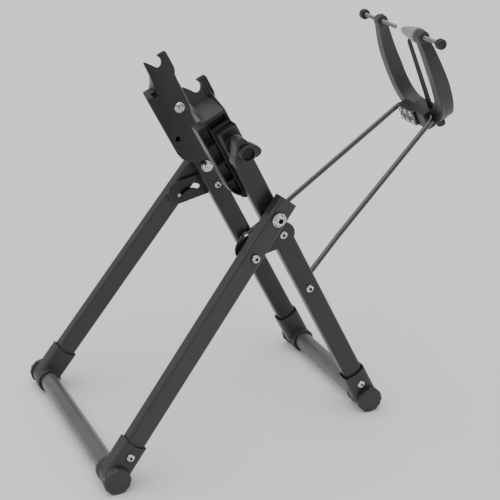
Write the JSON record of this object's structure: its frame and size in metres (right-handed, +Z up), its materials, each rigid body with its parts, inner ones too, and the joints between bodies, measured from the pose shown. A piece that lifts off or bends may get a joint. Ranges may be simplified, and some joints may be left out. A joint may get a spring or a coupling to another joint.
{
  "type": "folding wheel truing stand",
  "caption": "Folding two-sided stand that holds a bicycle wheel by its axle, with a swinging gauge whose screws show how true the rim runs.",
  "frame": {"origin": "centre of the bounding box's footprint, on the ground plane the four feet rest on", "axes": "+Z up; +X from the front feet towards the rim gauge; +Y to the left side, so -Y is the side with the clamp knob"},
  "size_m": [0.4574, 0.2632, 0.4186],
  "materials": {
    "tube_black": "satin black powder coat",
    "cross_tube_grey": "satin dark grey, smooth",
    "plastic_black": "moulded black plastic, fine texture",
    "rod_black": "gloss black",
    "zinc_steel": "bright zinc plate",
    "feeler_steel": "bare spring steel",
    "nose_grey": "light grey plastic"
  },
  "bodies": {
    "frame": {"left_upright_tube": "tube_black", "right_upright_tube": "tube_black", "left_upright_plug": "plastic_black", "right_upright_plug": "plastic_black", "left_rear_elbow": "plastic_black", "right_rear_elbow": "plastic_black", "left_rear_foot_cap": "plastic_black", "right_rear_foot_cap": "plastic_black", "left_rear_elbow_screw": "zinc_steel", "right_rear_elbow_screw": "zinc_steel", "left_pivot_bolt": "zinc_steel", "right_pivot_bolt": "zinc_steel", "left_pivot_nut": "zinc_steel", "right_pivot_nut": "zinc_steel", "left_pivot_washer": "zinc_steel", "right_pivot_washer": "zinc_steel", "left_brace_screw": "zinc_steel", "right_brace_screw": "zinc_steel", "left_rod_pivot_screw": "zinc_steel", "right_rod_pivot_screw": "zinc_steel", "rear_cross_tube": "cross_tube_grey", "left_dropout_head": "plastic_black", "left_head_bolt": "zinc_steel", "left_head_nut": "zinc_steel"},
    "legs": {"left_leg_tube": "tube_black", "right_leg_tube": "tube_black", "left_leg_plug": "plastic_black", "right_leg_plug": "plastic_black", "left_front_elbow": "plastic_black", "right_front_elbow": "plastic_black", "left_front_foot_cap": "plastic_black", "right_front_foot_cap": "plastic_black", "left_front_elbow_screw": "zinc_steel", "right_front_elbow_screw": "zinc_steel", "left_lock_pin": "zinc_steel", "right_lock_pin": "zinc_steel", "front_cross_tube": "cross_tube_grey"},
    "left_brace": {"left_brace_plate": "tube_black"},
    "right_brace": {"right_brace_plate": "tube_black"},
    "right_head": {"right_dropout_head": "plastic_black", "right_clamp_stud": "zinc_steel", "right_clamp_washer": "plastic_black"},
    "clamp_knob": {"right_clamp_knob": "plastic_black"},
    "rod": {"gauge_rod": "rod_black"},
    "gauge": {"gauge_bracket": "plastic_black", "gauge_clamp_block": "plastic_black", "gauge_clamp_plate": "zinc_steel", "gauge_lock_knob": "plastic_black", "radial_feeler_leaf": "feeler_steel", "gauge_clamp_screw_1": "zinc_steel", "gauge_clamp_screw_2": "zinc_steel", "gauge_clamp_screw_3": "zinc_steel", "gauge_clamp_screw_4": "zinc_steel", "gauge_clamp_screw_5": "zinc_steel", "gauge_clamp_screw_6": "zinc_steel"},
    "left_feeler": {"left_feeler_screw": "zinc_steel"},
    "left_feeler_grip": {"left_feeler_knob": "plastic_black"},
    "right_feeler": {"right_feeler_screw": "zinc_steel", "right_feeler_nose": "nose_grey"},
    "right_feeler_grip": {"right_feeler_knob": "plastic_black"}
  },
  "joints": [
    {"name": "leg_fold", "type": "hinge", "parent": "frame", "child": "legs", "pos_m": [-0.02518, 0, 0.25804], "axis": [0, -1, 0], "range_deg": [0, 52.5]},
    {"name": "left_brace_turn", "type": "hinge", "parent": "frame", "child": "left_brace", "pos_m": [-0.01135, 0.09, 0.2331], "axis": [0, -1, 0], "range_deg": [0, 74]},
    {"name": "right_brace_turn", "type": "hinge", "parent": "frame", "child": "right_brace", "pos_m": [-0.01135, -0.09, 0.2331], "axis": [0, -1, 0], "range_deg": [0, 74]},
    {"name": "right_head_slide", "type": "slide", "parent": "frame", "child": "right_head", "axis": [-0.454, 0, 0.891], "range_m": [-0.006, 0.006]},
    {"name": "clamp_knob_turn", "type": "hinge", "parent": "right_head", "child": "clamp_knob", "pos_m": [-0.06608, -0.108, 0.33743], "axis": [0, -1, 0], "range_deg": [0, 360]},
    {"name": "gauge_swing", "type": "hinge", "parent": "frame", "child": "rod", "pos_m": [0.02217, 0, 0.16511], "axis": [0, -1, 0], "range_deg": [-38, 28]},
    {"name": "gauge_tilt", "type": "hinge", "parent": "rod", "child": "gauge", "pos_m": [0.20254, 0, 0.31409], "axis": [0, -1, 0], "range_deg": [-30, 20]},
    {"name": "left_feeler_slide", "type": "slide", "parent": "gauge", "child": "left_feeler", "axis": [0, -1, 0], "range_m": [-0.005, 0.005]},
    {"name": "left_feeler_turn", "type": "hinge", "parent": "left_feeler", "child": "left_feeler_grip", "pos_m": [0.17564, 0.078, 0.41022], "axis": [0, -1, 0], "range_deg": [-1800, 1800]},
    {"name": "right_feeler_slide", "type": "slide", "parent": "gauge", "child": "right_feeler", "axis": [0, 1, 0], "range_m": [-0.001, 0.005]},
    {"name": "right_feeler_turn", "type": "hinge", "parent": "right_feeler", "child": "right_feeler_grip", "pos_m": [0.17564, -0.078, 0.41022], "axis": [0, 1, 0], "range_deg": [-360, 1800]}
  ],
  "couplings": [
    {"joint": "left_brace_turn", "follows": "leg_fold", "ratio": 1.4},
    {"joint": "right_brace_turn", "follows": "leg_fold", "ratio": 1.4},
    {"joint": "left_feeler_turn", "follows": "left_feeler_slide", "rad_per_m": 6283},
    {"joint": "right_feeler_turn", "follows": "right_feeler_slide", "rad_per_m": 6283}
  ]
}
